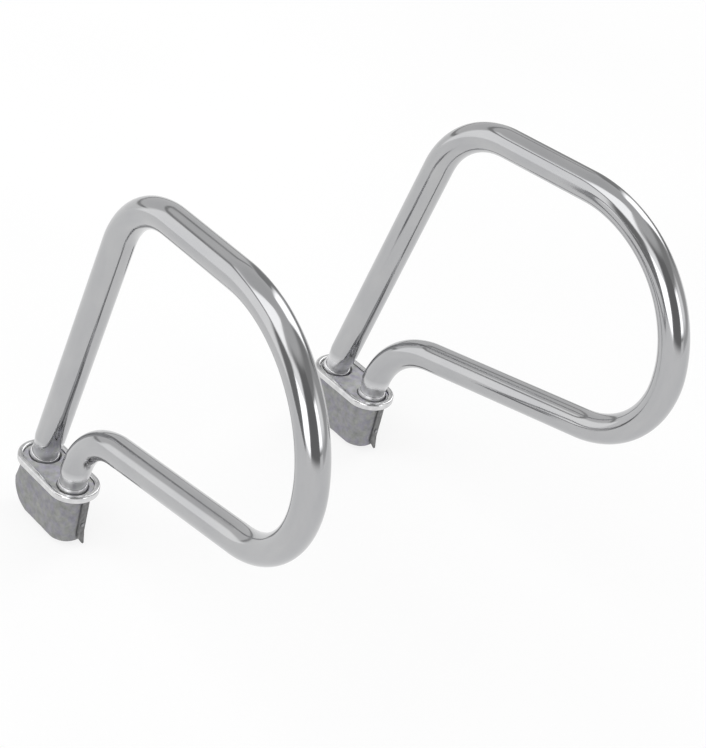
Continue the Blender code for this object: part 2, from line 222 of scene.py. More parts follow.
def remap(tree, value, low, high, new_low, new_high):
    return add_node(tree, "ShaderNodeMapRange", [(0, value), (1, low), (2, high), (3, new_low),
                                                  (4, new_high)]).outputs[0]


def ramp(tree, value, stops):
    node = add_node(tree, "ShaderNodeValToRGB", [(0, value)])
    elements = node.color_ramp.elements
    while len(elements) < len(stops):
        elements.new(0.5)
    for element, (position, colour) in zip(elements, stops):
        element.position = position
        element.color = (*colour, 1.0)
    return node.outputs[0]


def bump(tree, height, strength, distance, normal=None):
    inputs = [("Height", height), ("Strength", strength), ("Distance", distance)]
    if normal is not None:
        inputs.append(("Normal", normal))
    return add_node(tree, "ShaderNodeBump", inputs).outputs[0]


def object_coordinates(tree):
    return add_node(tree, "ShaderNodeTexCoord").outputs["Object"]


def piece_coordinates(tree):
    """Position round and along a swept piece, stored on its mesh."""
    return add_node(tree, "ShaderNodeAttribute", attribute_name="lay").outputs["Vector"]


# ---------------------------------------------------------------- materials

def polished_tube_material():
    """Polished tube: fine lengthwise lines, faint haze and soft smudges; satin at the necks, with a
    painted reflection that turns their colour near-white.
    """
    material, tree, shader = new_material("polished_tube_finish")
    lay = piece_coordinates(tree)
    lines = noise_node(tree, stretched(tree, lay, (1.0, 1.0, 0.03)), 900.0, 2.0)
    haze = noise_node(tree, stretched(tree, lay, (1.0, 1.0, 0.35)), 60.0, 4.0)
    smudge = noise_node(tree, lay, 25.0, 3.0)
    shader.inputs["Metallic"].default_value = 1.0
    polished = ramp(tree, haze, [(0.30, (0.432, 0.435, 0.446)), (0.70, (0.478, 0.479, 0.484))])
    # Painted reflection: toward either foot the tube's colour is mixed to near-white, standing in for
    # light the neck reflects. Its roughness also rises there, as satin.
    height = add_node(tree, "ShaderNodeSeparateXYZ", [(0, object_coordinates(tree))]).outputs["Z"]
    dull = remap(tree, height, FLOOR_Z + SATIN_AND_SHEEN_LOW, FLOOR_Z + SATIN_AND_SHEEN_HIGH, 1.0, 0.0)
    neck = add_node(tree, "ShaderNodeMix", data_type="RGBA")
    tree.links.new(dull, neck.inputs["Factor"])
    tree.links.new(polished, neck.inputs["A"])
    neck.inputs["B"].default_value = (0.90, 0.90, 0.91, 1.0)
    tree.links.new(neck.outputs["Result"], shader.inputs["Base Color"])
    rough = math_node(tree, "ADD", remap(tree, smudge, 0.35, 0.7, 0.055, 0.115),
                      remap(tree, lines, 0.3, 0.7, 0.0, 0.030))
    satin = math_node(tree, "ADD", rough, math_node(tree, "MULTIPLY", dull, 0.34))
    tree.links.new(satin, shader.inputs["Roughness"])
    fine = bump(tree, lines, 0.05, 0.00005)
    tree.links.new(bump(tree, haze, 0.05, 0.0004, fine), shader.inputs["Normal"])
    return material


def polished_rim_material():
    """Hand-polished cast rim: brighter than the tube, with a wavy surface and small scratches."""
    material, tree, shader = new_material("polished_rim_finish")
    place = object_coordinates(tree)
    waves = noise_node(tree, place, 140.0, 2.0)
    scratches = noise_node(tree, stretched(tree, place, (0.25, 1.0, 1.0)), 2200.0, 2.0)
    shader.inputs["Metallic"].default_value = 1.0
    colour = ramp(tree, waves, [(0.30, (0.60, 0.60, 0.61)), (0.70, (0.72, 0.72, 0.72))])
    tree.links.new(colour, shader.inputs["Base Color"])
    tree.links.new(remap(tree, scratches, 0.3, 0.7, 0.09, 0.20), shader.inputs["Roughness"])
    fine = bump(tree, scratches, 0.08, 0.00008)
    tree.links.new(bump(tree, waves, 0.25, 0.0006, fine), shader.inputs["Normal"])
    return material


def cast_foot_material():
    """As-cast metal: dull, mottled from grey to faint olive and violet, grainy, with painted light on its
    top floor.
    """
    material, tree, shader = new_material("cast_foot_finish")
    place = object_coordinates(tree)
    mottle = noise_node(tree, place, 170.0, 5.0, 0.60)
    tint = noise_node(tree, place, 160.0, 2.0)
    grain = noise_node(tree, place, 1500.0, 3.0, 0.6)
    pits = add_node(tree, "ShaderNodeTexVoronoi", [("Vector", place), ("Scale", 520.0)]).outputs[0]
    grey = ramp(tree, mottle, [(0.28, (0.212, 0.212, 0.222)), (0.50, (0.280, 0.280, 0.290)),
                               (0.72, (0.335, 0.335, 0.340))])
    tints = ramp(tree, tint, [(0.35, (0.97, 0.95, 1.05)), (0.5, (1.0, 1.0, 1.0)),
                              (0.65, (1.0, 1.02, 0.94))])
    # Painted light: the casting's top floor, at the foot's floor height, is painted brighter than its
    # sides, as if more light fell on it.
    height = add_node(tree, "ShaderNodeSeparateXYZ", [(0, place)]).outputs["Z"]
    painted_floor_light = remap(tree, height, FLOOR_Z - PAINTED_LIGHT_LOW, FLOOR_Z - PAINTED_LIGHT_HIGH, 1.0, PAINTED_LIGHT_GAIN)
    tinted = add_node(tree, "ShaderNodeVectorMath", [(0, grey), (1, tints)], operation="MULTIPLY")
    colour = add_node(tree, "ShaderNodeVectorMath", [(0, tinted.outputs[0]), (3, painted_floor_light)],
                      operation="SCALE")
    tree.links.new(colour.outputs[0], shader.inputs["Base Color"])
    shader.inputs["Metallic"].default_value = 0.55
    tree.links.new(remap(tree, grain, 0.3, 0.7, 0.48, 0.66), shader.inputs["Roughness"])
    skin = bump(tree, grain, 0.35, 0.00012)
    dimples = bump(tree, remap(tree, pits, 0.0, 0.25, 0.0, 1.0), 0.2, 0.0001, skin)
    tree.links.new(bump(tree, mottle, 0.3, 0.0006, dimples), shader.inputs["Normal"])
    return material


def turned_material(name, dark, light, rough_low, rough_high, ring_scale):
    """Machined metal with fine rings round the piece's own axis, and a little dirt."""
    material, tree, shader = new_material(name)
    place = object_coordinates(tree)
    rings = add_node(tree, "ShaderNodeTexWave", [("Vector", place), ("Scale", ring_scale),
                                                 ("Distortion", 1.5)],
                     wave_type="BANDS", bands_direction="Z").outputs["Fac"]
    dirt = noise_node(tree, place, 420.0, 4.0)
    shader.inputs["Metallic"].default_value = 1.0
    tree.links.new(ramp(tree, dirt, [(0.3, dark), (0.7, light)]), shader.inputs["Base Color"])
    tree.links.new(remap(tree, dirt, 0.3, 0.7, rough_low, rough_high), shader.inputs["Roughness"])
    tree.links.new(bump(tree, rings, 0.15, 0.00005), shader.inputs["Normal"])
    return material


def spring_strip_material():
    """Dull rolled strip: lengthwise drawing lines, darker oxide patches, and a painted highlight on its
    bevelled edges.
    """
    material, tree, shader = new_material("spring_strip_finish")
    place = object_coordinates(tree)
    drawn = noise_node(tree, stretched(tree, place, (1.0, 1.0, 0.04)), 2600.0, 3.0)
    patches = noise_node(tree, place, 260.0, 4.0)
    # Painted highlight: the bevelled edges are painted light grey and made a little smoother, standing in
    # for the light they catch.
    painted_edge_highlight = add_node(tree, "ShaderNodeAttribute", attribute_name="painted_edge_highlight").outputs["Fac"]
    dull = ramp(tree, patches, [(0.30, (0.13, 0.13, 0.132)), (0.70, (0.25, 0.25, 0.25))])
    mix = add_node(tree, "ShaderNodeMix", [("Factor", painted_edge_highlight)], data_type="RGBA")
    tree.links.new(dull, mix.inputs["A"])
    mix.inputs["B"].default_value = (0.72, 0.72, 0.72, 1.0)
    tree.links.new(mix.outputs["Result"], shader.inputs["Base Color"])
    shader.inputs["Metallic"].default_value = 1.0
    rough = math_node(tree, "SUBTRACT", remap(tree, drawn, 0.3, 0.7, 0.42, 0.58),
                      math_node(tree, "MULTIPLY", painted_edge_highlight, 0.15))
    tree.links.new(rough, shader.inputs["Roughness"])
    tree.links.new(bump(tree, drawn, 0.2, 0.00006), shader.inputs["Normal"])
    return material


# ---------------------------------------------------------------- pieces and how they ride

def foot_place(sign):
    return Matrix.Translation((0.0, sign * 0.5 * FOOT_SPACING, 0.0))


def loop_turn(sign):
    return Matrix.Rotation(sign * TOE_OUT, 4, "Z")


def piece_from(shape, side, name, place, material, node, smooth_angle=35.0):
    """Turns a bmesh into a piece that stands for one CAD node and rides on its unit's body."""
    bmesh.ops.transform(shape, matrix=place, verts=shape.verts)
    bmesh.ops.recalc_face_normals(shape, faces=shape.faces)
    mesh = bpy.data.meshes.new(side + "_" + name)
    shape.to_mesh(mesh)
    shape.free()
    mesh.materials.append(material)
    mesh.shade_smooth()
    mesh.set_sharp_from_angle(angle=math.radians(smooth_angle))
    piece = bpy.data.objects.new(side + "_" + name, mesh)
    bpy.context.scene.collection.objects.link(piece)
    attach(piece, side + "_unit")
    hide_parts(side + "_" + node)
    return piece


def ring_rows(shape, rings, close=False):
    """Quads between successive rings of equal length, all of them closed loops."""
    rows = [[shape.verts.new(point) for point in ring] for ring in rings]
    pairs = list(zip(rows, rows[1:]))
    if close:
        pairs.append((rows[-1], rows[0]))
    for lower, upper in pairs:
        for i in range(len(lower)):
            j = (i + 1) % len(lower)
            shape.faces.new((lower[i], lower[j], upper[j], upper[i]))
    return rows


def turned(profile, sides, matrix):
    """A closed ring or disc turned from (radius, height) points about the local Z."""
    shape = bmesh.new()
    on_axis = {}
    columns = []
    for step in range(sides):
        angle = math.tau * step / sides
        column = []
        for index, (radius, height) in enumerate(profile):
            if radius < 1e-7:
                if index not in on_axis:
                    on_axis[index] = shape.verts.new(matrix @ Vector((0.0, 0.0, height)))
                column.append(on_axis[index])
                continue
            point = Vector((radius * math.cos(angle), radius * math.sin(angle), height))
            column.append(shape.verts.new(matrix @ point))
        columns.append(column)
    count = len(profile)
    closed = not on_axis
    for step in range(sides):
        first, second = columns[step], columns[(step + 1) % sides]
        for i in range(count if closed else count - 1):
            j = (i + 1) % count
            corners = [first[i], second[i], second[j], first[j]]
            unique = [v for k, v in enumerate(corners) if v not in corners[:k]]
            shape.faces.new(unique)
    return shape


def rounded(profile, radius, steps):
    """The closed (r, z) profile with every corner rounded by up to the given radius."""
    result = []
    count = len(profile)
    for i in range(count):
        here = Vector(profile[i])
        before = Vector(profile[i - 1]) - here
        after = Vector(profile[(i + 1) % count]) - here
        reach = min(radius, 0.45 * before.length, 0.45 * after.length)
        first = here + before.normalized() * reach
        last = here + after.normalized() * reach
        for step in range(steps + 1):
            t = step / steps
            result.append(tuple((1 - t) ** 2 * first + 2 * t * (1 - t) * here + t * t * last))
    return result


# ---------------------------------------------------------------- loop tube

def leg_axis(leg):
    lean = LEAN_LONG if leg < 0 else LEAN_SHORT
    foot = Vector((leg * 0.5 * LEG_SPACING, 0.0, FLOOR_Z))
    return foot, Vector((math.sin(lean), 0.0, math.cos(lean)))


def leg_frame(leg):
    """Local Z along the leg's axis, with its origin at the floor of the foot."""
    foot, up = leg_axis(leg)
    return Matrix.Translation(foot) @ Matrix.Rotation(math.atan2(up.x, up.z), 4, "Y")


def along(heading):
    return Vector((math.cos(heading), 0.0, math.sin(heading)))


def arc_end(point, heading, radius, turn):
    sign = math.copysign(1.0, turn)
    centre = point + radius * sign * Vector((-math.sin(heading), 0.0, math.cos(heading)))
    new = heading + turn
    return centre - radius * sign * Vector((-math.sin(new), 0.0, math.cos(new))), new


def closing_lengths(point, heading, last_turn, target, last_heading):
    """Lengths of the bottom straight and of the short leg that bring the loop to the target."""
    bend, _ = arc_end(Vector(), heading, BEND_R, last_turn)
    first, second = along(heading), along(last_heading)
    rest = target - point - bend
    det = first.x * second.z - first.z * second.x
    return (rest.x * second.z - rest.z * second.x) / det, (first.x * rest.z - first.z * rest.x) / det


def loop_segments():
    """Straights (length) and arcs (radius, turn) from the long leg's foot to the short leg's."""
    foot, up_long = leg_axis(-1)
    target, up_short = leg_axis(1)
    heading = math.atan2(up_long.z, up_long.x)
    segments = [(LEG_LENGTH,), (BEND_R, -SHOULDER_BEND), (TOP_LENGTH,),
                (NOSE_R_TOP, -NOSE_BEND_TOP), (NOSE_R_BOTTOM, -NOSE_BEND_BOTTOM)]
    point = foot
    for segment in segments:
        if len(segment) == 1:
            point = point + segment[0] * along(heading)
        else:
            point, heading = arc_end(point, heading, *segment)
    last_heading = math.atan2(-up_short.z, -up_short.x)
    last_turn = (last_heading - heading) % math.tau
    bottom, short = closing_lengths(point, heading, last_turn, target, last_heading)
    return segments + [(bottom,), (BEND_R, last_turn), (short,)]


def smooth_step(value):
    value = min(max(value, 0.0), 1.0)
    return value * value * (3.0 - 2.0 * value)


def loop_stations():
    """(centre, heading, flattening) along the loop, from seat to seat, closely spaced."""
    foot, up_long = leg_axis(-1)
    _, up_short = leg_axis(1)
    heading = math.atan2(up_long.z, up_long.x)
    seat_long = (FLOOR_Z - TUBE_SEAT_Z) / up_long.z
    seat_short = (FLOOR_Z - TUBE_SEAT_Z) / up_short.z
    segments = loop_segments()
    point = foot - seat_long * along(heading)
    stations = [(point, heading, 0.0)]
    for index, segment in enumerate(segments):
        start = stations[-1][0]
        if len(segment) == 1:
            length = segment[0] + seat_long * (index == 0) + seat_short * (index == len(segments) - 1)
            step = FINE_NECK if index in (0, len(segments) - 1) else FINE_LINE
            fine = min(length, FINE_REACH)
            count = math.ceil(fine / step)
            reach = [fine * k / count for k in range(1, count + 1)]
            if length > fine:
                reach += [fine + (length - fine) * k / COARSE_STEPS for k in range(1, COARSE_STEPS + 1)]
            if index == len(segments) - 1:
                reach = [length - r for r in reversed([0.0] + reach[:-1])]
            stations += [(start + r * along(heading), heading, 0.0) for r in reach]
            continue
        radius, turn = segment
        steps = math.ceil(abs(turn) / FINE_ARC)
        for k in range(1, steps + 1):
            centre, new = arc_end(start, heading, radius, turn * k / steps)
            from_end = min(k, steps - k) / steps * abs(turn) * radius
            stations.append((centre, new, FLATTENING * smooth_step(from_end / FLATTEN_RUN)))
        heading += turn
    return stations


def tube_radius(centre, index, count):
    """Full size, or narrowing into the neck at either foot, with a softened shoulder."""
    span = NECK_LONG if index < count / 2 else NECK_SHORT
    share = min(max((centre.z - FLOOR_Z - NECK_RISE) / span, 0.0), 1.0)
    return NECK_R + (TUBE_R - NECK_R) * (0.75 * share + 0.25 * smooth_step(share))


def tube_ring(centre, heading, radius, flattening, wall):
    """One ring of the tube, in from its surface by wall: narrower across the bend."""
    across = Vector((-math.sin(heading), 0.0, math.cos(heading)))
    side = Vector((0.0, 1.0, 0.0))
    ring = []
    for step in range(TUBE_SIDES):
        angle = math.tau * step / TUBE_SIDES
        reach = radius - wall
        ring.append(centre + side * reach * math.cos(angle)
                    + across * (reach * (1.0 - flattening)) * math.sin(angle))
    return ring


def store_lay(mesh, values):
    attribute = mesh.attributes.new("lay", "FLOAT_VECTOR", "POINT")
    flat = [number for value in values for number in value]
    attribute.data.foreach_set("vector", flat)


def build_tube(side, place, material):
    stations = loop_stations()
    count = len(stations)
    outer, inner, lay = [], [], []
    travelled = 0.0
    for index, (centre, heading, flattening) in enumerate(stations):
        if index:
            travelled += (centre - stations[index - 1][0]).length
        radius = tube_radius(centre, index, count)
        outer.append(tube_ring(centre, heading, radius, flattening, 0.0))
        inner.append(tube_ring(centre, heading, radius, flattening, TUBE_WALL))
        for step in range(TUBE_SIDES):
            angle = math.tau * step / TUBE_SIDES
            lay.append((TUBE_R * math.cos(angle), TUBE_R * math.sin(angle), travelled))
    shape = bmesh.new()
    ring_rows(shape, outer + list(reversed(inner)), close=True)
    piece = piece_from(shape, side, "loop", place, material, "loop_tube")
    back = [lay[(count - 1 - i // TUBE_SIDES) * TUBE_SIDES + i % TUBE_SIDES] for i in range(len(lay))]
    store_lay(piece.data, lay + back)
    return piece


# ---------------------------------------------------------------- foot casting and rim

def oblong_ring(left, right, half_width, z, arc_steps=RING_ARC_STEPS, line_steps=RING_LINE_STEPS):
    """An oblong outline with round ends and evenly divided straights."""
    ring = []
    ends = ((right - half_width, -0.5 * math.pi), (left + half_width, 0.5 * math.pi))
    straight = ends[0][0] - ends[1][0]
    for end, (centre, start) in enumerate(ends):
        for step in range(2 * arc_steps + 1):
            angle = start + math.pi * step / (2 * arc_steps)
            ring.append(Vector((centre + half_width * math.cos(angle), half_width * math.sin(angle), z)))
        last = ring[-1]
        way = -1.0 if end == 0 else 1.0
        for step in range(1, line_steps):
            ring.append(last + Vector((way * straight * step / line_steps, 0.0, 0.0)))
    return ring


def plug_back_end(depth):
    heel_top = PLUG_DEPTH - PLUG_HEEL_R
    wall = PLUG_BACK_END - PLUG_BACK_SLOPE * min(depth, heel_top)
    below = min(max(depth - heel_top, 0.0), PLUG_HEEL_R)
    return wall + PLUG_HEEL_R - math.sqrt(PLUG_HEEL_R ** 2 - below ** 2)


def plug_ring(depth, inset=0.0):
    left = plug_back_end(depth) + inset
    right = PLUG_NOSE_END - PLUG_NOSE_SLOPE * depth - inset
    return oblong_ring(left, right, PLUG_HALF_WIDTH - PLUG_SIDE_SLOPE * depth - inset, -depth)


def flange_ring(z, inset=0.0):
    inner = RIM_WIDTH + GAP + inset
    return oblong_ring(RIM_X - RIM_HALF_LENGTH + inner, RIM_X + RIM_HALF_LENGTH - inner,
                       RIM_HALF_WIDTH - inner, z)


def plug_rings():
    """Rings of the plug and flange from the bottom to the floor, edges rounded."""
    rings = []
    for inset in UNDERSIDE_INSETS:
        rings.append(plug_ring(PLUG_DEPTH, BOTTOM_EDGE_R + inset))
    for k in range(EDGE_STEPS + 1):
        angle = 0.5 * math.pi * k / EDGE_STEPS
        rings.append(plug_ring(PLUG_DEPTH - BOTTOM_EDGE_R * (1.0 - math.cos(angle)),
                               BOTTOM_EDGE_R * (1.0 - math.sin(angle))))
    heel_top = PLUG_DEPTH - PLUG_HEEL_R
    edge_depth = PLUG_DEPTH - BOTTOM_EDGE_R
    rings += [plug_ring(heel_top + (edge_depth - heel_top) * math.cos(0.5 * math.pi * k / HEEL_STEPS))
              for k in range(1, HEEL_STEPS + 1)]
    rings += [plug_ring(heel_top * (1.0 - k / WALL_STEPS)) for k in range(1, WALL_STEPS)]
    rings += [plug_ring(-FLANGE_UNDER_Z), flange_ring(FLANGE_UNDER_Z)]
    rings += [flange_ring(FLOOR_Z + height, inset) for height, inset in FLANGE_EDGE]
    return rings


def roughen(shape, amount, scale, low, high):
    """Moves vertices between two heights by smooth noise, as a casting's skin wanders."""
    for vert in shape.verts:
        if low < vert.co.z < high:
            vert.co += amount * noise.noise_vector(vert.co * scale)


def cutter_object(shape, place):
    bmesh.ops.transform(shape, matrix=place, verts=shape.verts)
    bmesh.ops.recalc_face_normals(shape, faces=shape.faces)
    mesh = bpy.data.meshes.new("cutter")
    shape.to_mesh(mesh)
    shape.free()
    cutter = bpy.data.objects.new("cutter", mesh)
    bpy.context.scene.collection.objects.link(cutter)
    return cutter


def subtract(piece, cutters, place):
    """Cuts the placed cutters out of the piece's mesh for good, and then removes them."""
    objects = [cutter_object(cutter, place) for cutter in cutters]
    for cutter in objects:
        boolean = piece.modifiers.new("cut", "BOOLEAN")
        boolean.operation = "DIFFERENCE"
        boolean.solver = "EXACT"
        boolean.object = cutter
    bpy.context.view_layer.update()
    evaluated = piece.evaluated_get(bpy.context.evaluated_depsgraph_get())
    mesh = bpy.data.meshes.new_from_object(evaluated)
    piece.modifiers.clear()
    piece.data = mesh
    for cutter in objects:
        bpy.data.objects.remove(cutter, do_unlink=True)
    return piece


def leg_cutters(leg, turn):
    """Bore, collar counterbore with a broken edge, and set-screw hole of one leg."""
    _, up = leg_axis(leg)
    seat = (TUBE_SEAT_Z - FLOOR_Z) / up.z - GAP
    sink_r = NECK_R + GAP + COLLAR_WALL + COUNTERBORE_GAP
    edge_r = sink_r + BROKEN_EDGE
    above, floor_of_sink, end = 0.03, -COLLAR_SEAT - GAP, seat - BORE_RUNOUT
    bore = turned([(0.0, above), (sink_r + 0.002, above), (edge_r + 0.0009, BROKEN_EDGE + 0.0004),
                   (edge_r, 0.0), (sink_r, -BROKEN_EDGE), (sink_r, floor_of_sink),
                   (NECK_R + GAP, floor_of_sink), (NECK_R + GAP, end), (0.0, end)],
                  64, turn @ leg_frame(leg))
    hole_r = SET_SCREW_R + GAP
    mouth_r = hole_r + SCREW_MOUTH
    outside, wall, inside = 0.04, PLUG_HALF_WIDTH, 0.004
    hole = turned([(0.0, outside), (mouth_r, outside), (mouth_r, wall + SCREW_MOUTH),
                   (hole_r, wall - 0.5 * SCREW_MOUTH), (hole_r, inside), (0.0, inside)],
                  48, turn @ set_screw_frame(leg))
    return [bore, hole]


def core_cutter():
    """The shallow cored recess under the plug, with soft inner corners."""
    under, ceiling = -PLUG_DEPTH, CORE_DEPTH - PLUG_DEPTH
    levels = ((CORE_FLARE, under - 2 * CORE_FLARE), (0.0, under),
              (-CORE_CORNER, ceiling - CORE_CORNER), (-2 * CORE_CORNER, ceiling))
    shape = bmesh.new()
    rows = ring_rows(shape, [oblong_ring(-CORE_HALF_LENGTH - grow, CORE_HALF_LENGTH + grow,
                                         CORE_HALF_WIDTH + grow, z) for grow, z in levels])
    shape.faces.new(rows[0])
    shape.faces.new(rows[-1])
    return shape


def rivet_hole(outside, inside):
    """Cutter for the rivet's hole, between two heights in the rivet's frame."""
    radius = RIVET_SHANK_R + GAP
    return turned([(0.0, outside), (radius, outside), (radius, inside), (0.0, inside)], 24,
                  rivet_frame())


def set_screw_frame(leg):
    """Local Z runs out through the plug's +Y wall, at right angles to the leg's axis."""
    foot, up = leg_axis(leg)
    centre = foot + up * ((SET_SCREW_Z - FLOOR_Z) / up.z)
    return Matrix.Translation(centre) @ Matrix.Rotation(-0.5 * math.pi, 4, "X")


def rivet_frame():
    """Local Z runs out of the plug's nose end, from the strip's outer face."""
    face = Vector((strip_x(RIVET_Z) + STRIP_THICKNESS, 0.0, RIVET_Z))
    return strip_frame() @ Matrix.Translation(face) @ Matrix.Rotation(0.5 * math.pi, 4, "Y")


def build_casting(side, place, turn, material):
    shape = bmesh.new()
    rows = ring_rows(shape, plug_rings())
    shape.faces.new(rows[0])
    shape.faces.new(rows[-1])
    roughen(shape, CAST_WANDER, CAST_WANDER_SCALE, -PLUG_DEPTH - 0.001, -0.002)
    piece = piece_from(shape, side, "casting", place, material, "foot_casting", 40.0)
    cutters = [cutter for _, leg in LEGS for cutter in leg_cutters(leg, turn)]
    cutters += [core_cutter(), rivet_hole(0.004, -RIVET_SHANK_LENGTH - GAP)]
    return subtract(piece, cutters, place)


def build_rim(side, place, material):
    """The bead: a rounded band swept round the flange, faintly uneven from hand polishing."""
    corners = [(0.0, 0.0), (0.0, RIM_TOP_Z), (RIM_WIDTH, RIM_TOP_Z), (RIM_WIDTH, 0.0)]
    rings = [oblong_ring(RIM_X - RIM_HALF_LENGTH + inset, RIM_X + RIM_HALF_LENGTH - inset,
                         RIM_HALF_WIDTH - inset, z, RIM_ARC_STEPS, RIM_LINE_STEPS)
             for inset, z in rounded(corners, RIM_EDGE_R, 8)]
    shape = bmesh.new()
    ring_rows(shape, rings, close=True)
    roughen(shape, RIM_WANDER, RIM_WANDER_SCALE, 0.0008, RIM_TOP_Z + 0.001)
    return piece_from(shape, side, "rim", place, material, "rim_band")


# ---------------------------------------------------------------- small parts

def build_collar(side, name, leg, place, material):
    """A short skirt round the tube: it slopes in from its shoulder to a thin lip."""
    inner = NECK_R + GAP
    outer = inner + COLLAR_WALL
    corners = [(inner + COLLAR_LIP, COLLAR_PROUD), (outer, COLLAR_SHOULDER), (outer, -COLLAR_SEAT),
               (inner, -COLLAR_SEAT), (inner, COLLAR_PROUD)]
    shape = turned(rounded(corners, COLLAR_EDGE_R, 6), 96, leg_frame(leg))
    return piece_from(shape, side, "collar_" + name, place, material, "collar_" + name)


def hex_ring(radius, z):
    """Points of a hexagon's outline at even angles, so that it can join a round ring."""
    ring = []
    for step in range(SCREW_SIDES):
        angle = math.tau * step / SCREW_SIDES
        off = (angle + math.pi / 6) % (math.pi / 3) - math.pi / 6
        reach = radius * math.cos(math.pi / 6) / math.cos(off)
        ring.append(Vector((reach * math.cos(angle), reach * math.sin(angle), z)))
    return ring


def round_ring(radius, z):
    angles = [math.tau * k / SCREW_SIDES for k in range(SCREW_SIDES)]
    return [Vector((radius * math.cos(angle), radius * math.sin(angle), z)) for angle in angles]


def build_set_screw(side, name, leg, place, material):
    """Socket set screw: cup point, fine thread grooves, chamfered end with a hexagon socket."""
    tip = NECK_R + GAP
    head = tip + SET_SCREW_LENGTH
    rings = [round_ring(radius, tip + height) for radius, height in CUP_POINT]
    z = tip + THREAD_START
    while z < head - THREAD_END:
        rings += [round_ring(SET_SCREW_R, z), round_ring(SET_SCREW_R, z + 0.25 * THREAD_PITCH),
                  round_ring(SET_SCREW_R - THREAD_DEPTH, z + 0.6 * THREAD_PITCH)]
        z += THREAD_PITCH
    rings += [round_ring(SET_SCREW_R - inset, head - depth) for inset, depth in SCREW_CHAMFER]
    rings += [hex_ring(HEX_SOCKET_R + BROKEN_EDGE, head), hex_ring(HEX_SOCKET_R, head - BROKEN_EDGE),
              hex_ring(HEX_SOCKET_R, head - HEX_SOCKET_DEPTH),
              round_ring(0.0008, head - HEX_SOCKET_DEPTH - 0.0003)]
    shape = bmesh.new()
    rows = ring_rows(shape, rings)
    shape.faces.new(rows[0])
    shape.faces.new(rows[-1])
    bmesh.ops.transform(shape, matrix=set_screw_frame(leg), verts=shape.verts)
    return piece_from(shape, side, "set_screw_" + name, place, material, "set_screw_" + name,
                      28.0)


def strip_x(z):
    wall = PLUG_NOSE_END + GAP + PLUG_NOSE_SLOPE * z
    return wall + STRIP_KICK * max(0.0, STRIP_BEND_Z - z)


def strip_frame():
    """Turns about the middle of the plug's round nose end, to the strip's place on it."""
    centre = Vector((PLUG_NOSE_END - PLUG_HALF_WIDTH, 0.0, 0.0))
    turn = Matrix.Rotation(STRIP_TURN, 4, "Z")
    return Matrix.Translation(centre) @ turn @ Matrix.Translation(-centre)


def build_strip(side, place, material):
    """Spring strip down the nose end of the plug, cut to a point below, with bevelled edges that carry a
    painted highlight.
    """
    half = 0.5 * STRIP_WIDTH
    outline = [(-half, 0.0), (-half, STRIP_BEND_Z), (-half, STRIP_CORNER_Z),
               (STRIP_POINT_SHARE * half, STRIP_TIP_Z), (half, STRIP_TIP_Z), (half, STRIP_BEND_Z),
               (half, 0.0)]
    shape = bmesh.new()
    front = [shape.verts.new((strip_x(z) + STRIP_THICKNESS, y, z)) for y, z in outline]
    back = [shape.verts.new((strip_x(z), y, z)) for y, z in outline]
    for row in (front, back):
        shape.faces.new((row[0], row[1], row[5], row[6]))
        shape.faces.new(row[1:6])
    for i in range(len(outline)):
        j = (i + 1) % len(outline)
        shape.faces.new((front[i], front[j], back[j], back[i]))
    edges = [edge for edge in shape.edges if edge.calc_face_angle(0.0) > math.radians(40)]
    made = bmesh.ops.bevel(shape, geom=edges, offset=STRIP_EDGE, segments=3, profile=0.6,
                           affect="EDGES")
    shape.verts.index_update()
    # The bevels' vertices, which carry the painted edge highlight.
    highlight_verts = {vert.index for face in made["faces"] for vert in face.verts}
    piece = piece_from(shape, side, "strip", place @ strip_frame(), material, "retaining_strip")
    painted_edge_highlight = piece.data.attributes.new("painted_edge_highlight", "FLOAT", "POINT")
    count = len(piece.data.vertices)
    painted_edge_highlight.data.foreach_set("value", [1.0 if index in highlight_verts else 0.0 for index in range(count)])
    return subtract(piece, [rivet_hole(0.006, -0.006)], place)


def build_rivet(side, place, material):
    """Domed rivet head on the strip, with its shank in the plug."""
    lift = RIVET_HEAD_HEIGHT
    profile = [(0.0, GAP + lift)]
    for k in range(1, DOME_STEPS + 1):
        angle = 0.5 * math.pi * k / DOME_STEPS
        rise = DOME_RIM_SHARE + (1.0 - DOME_RIM_SHARE) * math.cos(angle)
        profile.append((RIVET_HEAD_R * math.sin(angle), GAP + lift * rise))
    profile += [(RIVET_HEAD_R, GAP), (RIVET_SHANK_R, GAP),
                (RIVET_SHANK_R, SHANK_CHAMFER - RIVET_SHANK_LENGTH),
                (RIVET_SHANK_R - SHANK_CHAMFER, -RIVET_SHANK_LENGTH), (0.0, -RIVET_SHANK_LENGTH)]
    shape = turned(profile, 40, rivet_frame())
    return piece_from(shape, side, "rivet", place, material, "strip_rivet")


def build_unit(side, sign, materials):
    """One unit's pieces; the tube inserts stay the CAD's own and only get their metal."""
    foot = foot_place(sign)
    turn = loop_turn(sign)
    loop = foot @ turn
    build_tube(side, loop, materials["tube"])
    build_casting(side, foot, turn, materials["cast"])
    build_rim(side, foot, materials["rim"])
    for name, leg in LEGS:
        build_collar(side, name, leg, loop, materials["collar"])
        build_set_screw(side, name, leg, loop, materials["hardware"])
        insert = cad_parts[side + "_insert_" + name]
        insert.data.materials.clear()
        insert.data.materials.append(materials["hardware"])
    build_strip(side, foot, materials["strip"])
    build_rivet(side, foot, materials["hardware"])


# ---------------------------------------------------------------- studio

